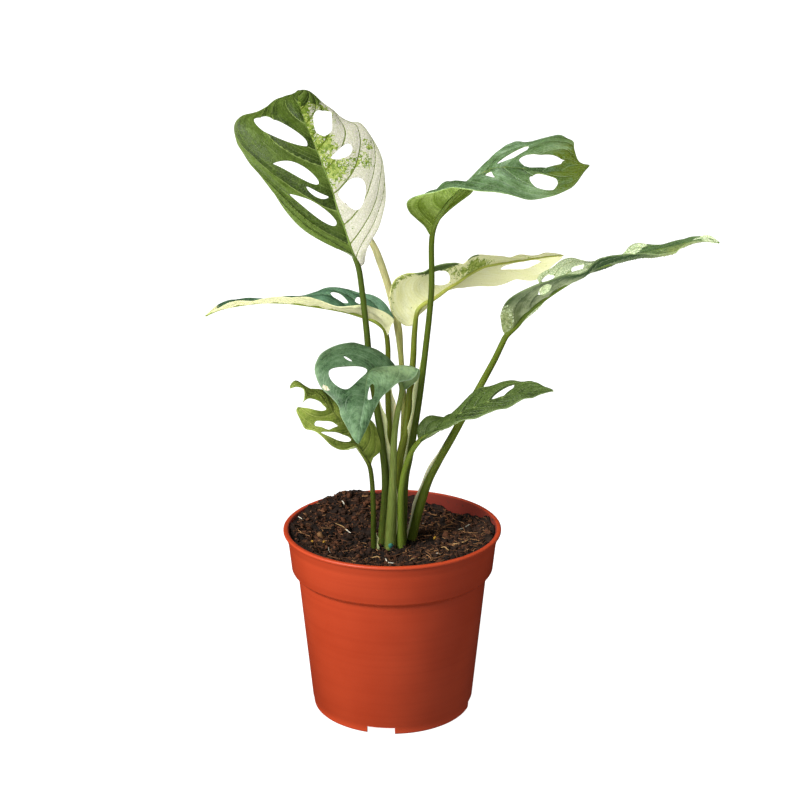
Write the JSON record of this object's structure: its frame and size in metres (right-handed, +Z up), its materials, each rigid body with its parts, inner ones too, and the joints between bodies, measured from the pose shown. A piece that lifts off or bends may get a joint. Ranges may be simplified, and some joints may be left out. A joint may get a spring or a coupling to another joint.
{
  "type": "potted variegated swiss cheese vine",
  "caption": "Potted house plant with holed, cream and green marbled leaves on long stalks, rooted in dark soil in a tapered terracotta-coloured plastic pot.",
  "frame": {"origin": "middle of the pot's underside, on the ground", "axes": "+Z up, -Y towards the side that the picture shows, +X to that viewer's right"},
  "size_m": [0.2356, 0.1073, 0.2968],
  "materials": {
    "pot_plastic": "satin moulded plastic",
    "soil": "moist crumbled peat and coir",
    "stem": "fresh plant stem",
    "leaf_green": "semi-gloss leaf",
    "leaf_marbled": "semi-gloss leaf, green and cream",
    "leaf_cream": "semi-gloss cream leaf"
  },
  "bodies": {
    "root": {"pot": "pot_plastic", "soil": "soil", "stem": "stem", "leaf_upper_left": "leaf_marbled", "leaf_upper_right": "leaf_green", "leaf_right": "leaf_green", "leaf_middle": "leaf_cream", "leaf_left": "leaf_marbled", "leaf_front": "leaf_green", "leaf_lower_left": "leaf_green", "leaf_lower_right": "leaf_green", "leaf_furled": "leaf_cream"}
  },
  "joints": []
}
